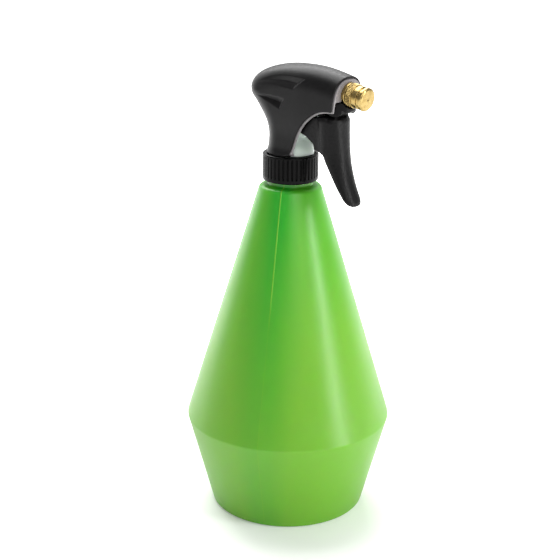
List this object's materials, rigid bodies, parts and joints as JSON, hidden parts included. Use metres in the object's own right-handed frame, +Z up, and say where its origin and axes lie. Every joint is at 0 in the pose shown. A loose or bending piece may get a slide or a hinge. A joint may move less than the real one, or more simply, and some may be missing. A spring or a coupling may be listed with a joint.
{
  "type": "pump sprayer",
  "caption": "Hand trigger pump sprayer: screw-on pump head with trigger and turning brass nozzle on a conical translucent bottle.",
  "frame": {"origin": "centre of the bottle's base, on the surface it stands on", "axes": "+Z up along the bottle's axis, +X the way it sprays, +Y to the left of someone holding it"},
  "size_m": [0.12, 0.12, 0.2657],
  "materials": {
    "bottle_plastic": "translucent satin polyethylene",
    "collar_plastic": "glossy moulded",
    "soft_seal": "soft white",
    "pump_plastic": "milky translucent",
    "ball_steel": "polished",
    "tube_plastic": "milky translucent",
    "piston_plastic": "moulded",
    "spring_steel": "drawn wire",
    "brass": "turned",
    "black_rubber": "moulded",
    "shroud_plastic": "soft-touch fine grain",
    "liner_plastic": "satin light grey",
    "cradle_plastic": "smooth moulded",
    "trigger_plastic": "satin fine grain"
  },
  "bodies": {
    "bottle": {"bottle": "bottle_plastic"},
    "head": {"pump_body": "pump_plastic", "neck_gasket": "soft_seal", "tube_retainer": "pump_plastic", "dip_tube": "tube_plastic", "intake_filter": "pump_plastic", "outlet_spring": "spring_steel", "outlet_tube": "tube_plastic", "nozzle_stem": "brass", "stem_o_ring": "black_rubber", "swirl_core": "piston_plastic", "shroud": "shroud_plastic", "inner_housing": "liner_plastic", "nose_cradle": "cradle_plastic", "trigger_pin": "spring_steel"},
    "collar": {"collar": "collar_plastic"},
    "trigger": {"trigger": "trigger_plastic"},
    "piston": {"piston": "piston_plastic", "piston_seal": "soft_seal", "return_spring": "spring_steel"},
    "inlet_ball": {"inlet_ball": "ball_steel"},
    "outlet_ball": {"outlet_ball": "ball_steel"},
    "nozzle_seal": {"nozzle_seal": "black_rubber"},
    "nozzle_cap": {"nozzle_cap": "brass"}
  },
  "joints": [
    {"name": "head_rise", "type": "slide", "parent": "bottle", "child": "head", "axis": [0, 0, 1], "range_m": [0, 0.00423]},
    {"name": "collar_turn", "type": "hinge", "parent": "head", "child": "collar", "pos_m": [0, 0, 0.206], "axis": [0, 0, 1], "range_deg": [0, 360]},
    {"name": "trigger_pull", "type": "hinge", "parent": "head", "child": "trigger", "pos_m": [0.034, 0, 0.247], "axis": [0, 1, 0], "range_deg": [0, 22], "stiffness_Nm_per_rad": 0.35, "springref_deg": -20.05},
    {"name": "piston_slide", "type": "slide", "parent": "head", "child": "piston", "axis": [-1, 0, 0], "range_m": [0, 0.00696], "deforming": ["return_spring"]},
    {"name": "inlet_ball_lift", "type": "slide", "parent": "head", "child": "inlet_ball", "axis": [0, 0, 1], "range_m": [0, 0.0015]},
    {"name": "outlet_ball_lift", "type": "slide", "parent": "head", "child": "outlet_ball", "axis": [0, 0, 1], "range_m": [0, 0.0012], "stiffness_N_per_m": 60, "springref_m": -0.002, "deforming": ["outlet_spring"]},
    {"name": "nozzle_advance", "type": "slide", "parent": "head", "child": "nozzle_seal", "axis": [0.9903, 0, -0.1392], "range_m": [0, 0.002]},
    {"name": "nozzle_turn", "type": "hinge", "parent": "nozzle_seal", "child": "nozzle_cap", "pos_m": [0.04892, 0, 0.25204], "axis": [0.9903, 0, -0.1392], "range_deg": [0, 720]}
  ],
  "couplings": [
    {"joint": "collar_turn", "follows": "head_rise", "rad_per_m": 1485.4},
    {"joint": "piston_slide", "follows": "trigger_pull", "m_per_rad": 0.0181},
    {"joint": "nozzle_advance", "follows": "nozzle_turn", "m_per_rad": 0.00015915}
  ]
}
